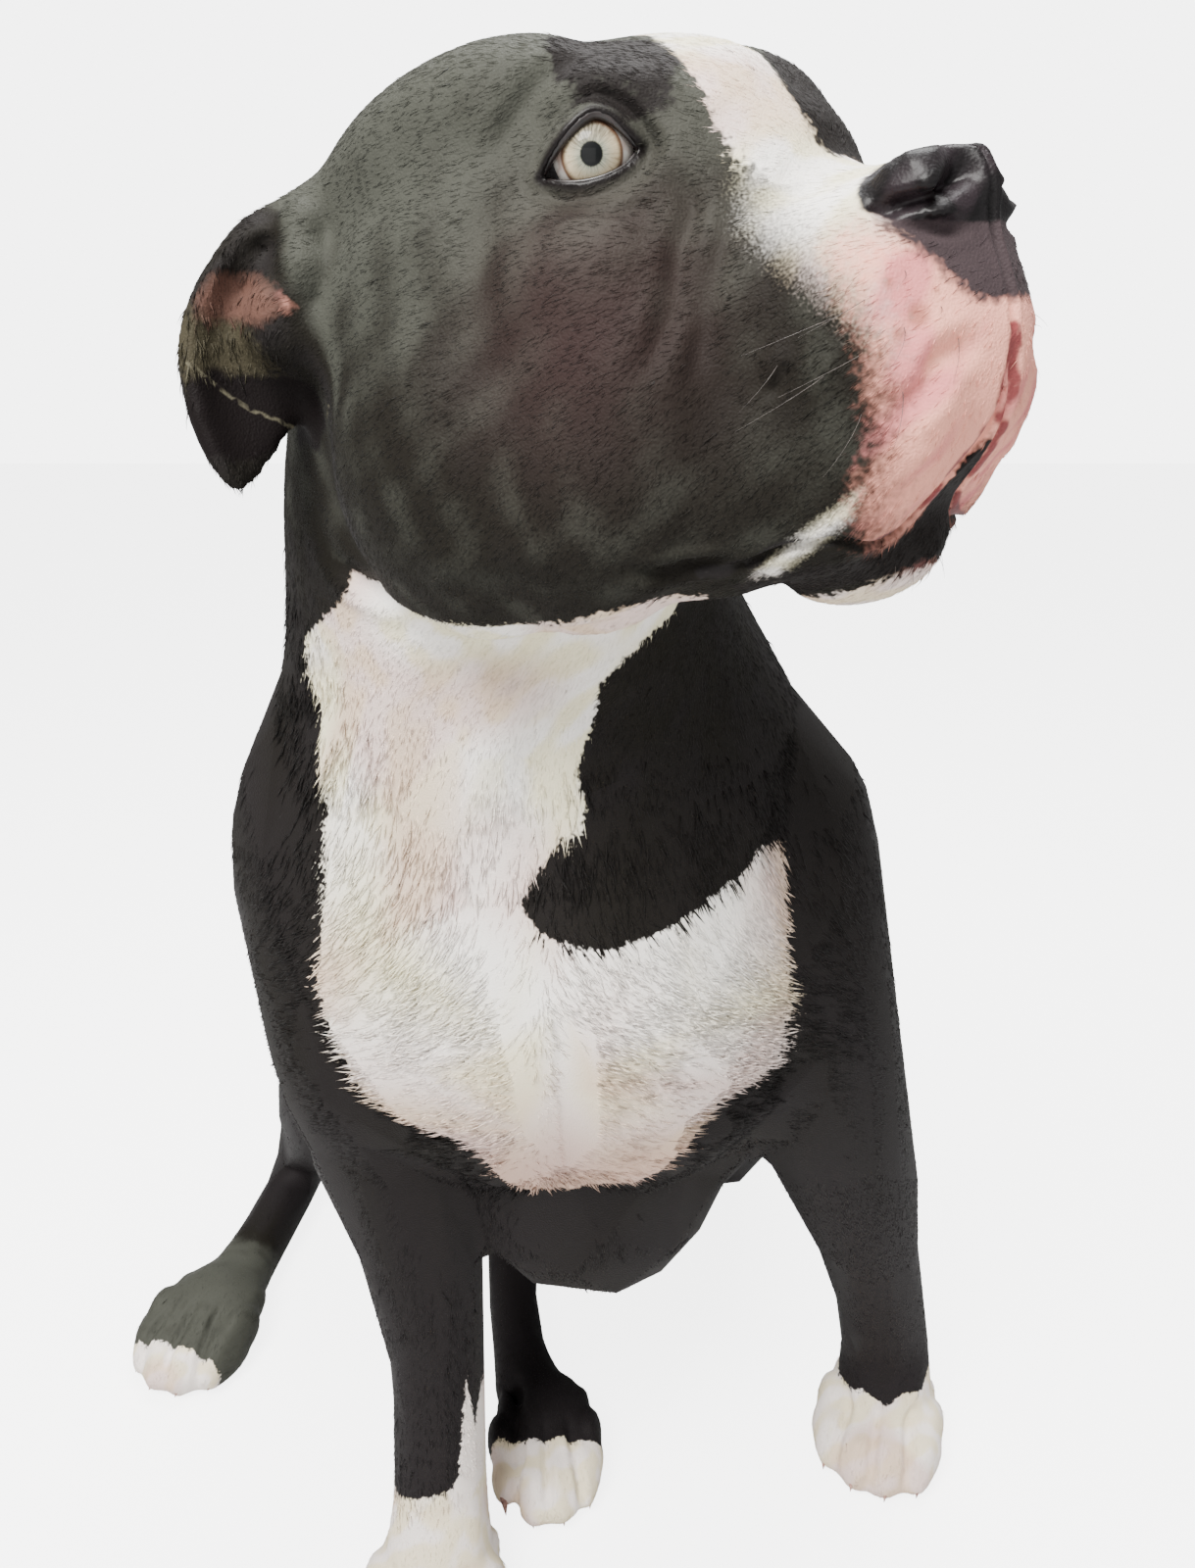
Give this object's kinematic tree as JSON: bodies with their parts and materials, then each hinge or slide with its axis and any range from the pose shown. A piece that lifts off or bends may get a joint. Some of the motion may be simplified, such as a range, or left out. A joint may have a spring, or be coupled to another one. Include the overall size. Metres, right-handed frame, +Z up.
{
  "type": "dog, seated, bully type, life-size still model",
  "caption": "Life-size still model of a muscular short-coated grey and white dog, seated with its head turned to its left and raised.",
  "frame": {"origin": "middle of the footprint, on the floor that the dog sits on", "axes": "+Z up; -Y is where the chest faces; +X is the dog's left side"},
  "size_m": [0.5392, 0.751, 0.7397],
  "materials": {
    "coat": "short glossy dark grey hair with white markings",
    "white_coat": "short white hair",
    "eye": "wet, cream iris",
    "nose": "moist, fine pebbled",
    "claw": "horn"
  },
  "bodies": {
    "root": {"head": "coat", "ear_left": "coat", "ear_right": "coat", "eye_left": "eye", "eye_right": "eye", "neck": "coat", "trunk": "coat", "tail": "coat", "foreleg_left": "coat", "foreleg_right": "coat", "forepaw_left": "white_coat", "forepaw_right": "white_coat", "hindleg_left": "coat", "hindleg_right": "coat", "hindpaw_left": "white_coat", "hindpaw_right": "coat"}
  },
  "joints": []
}
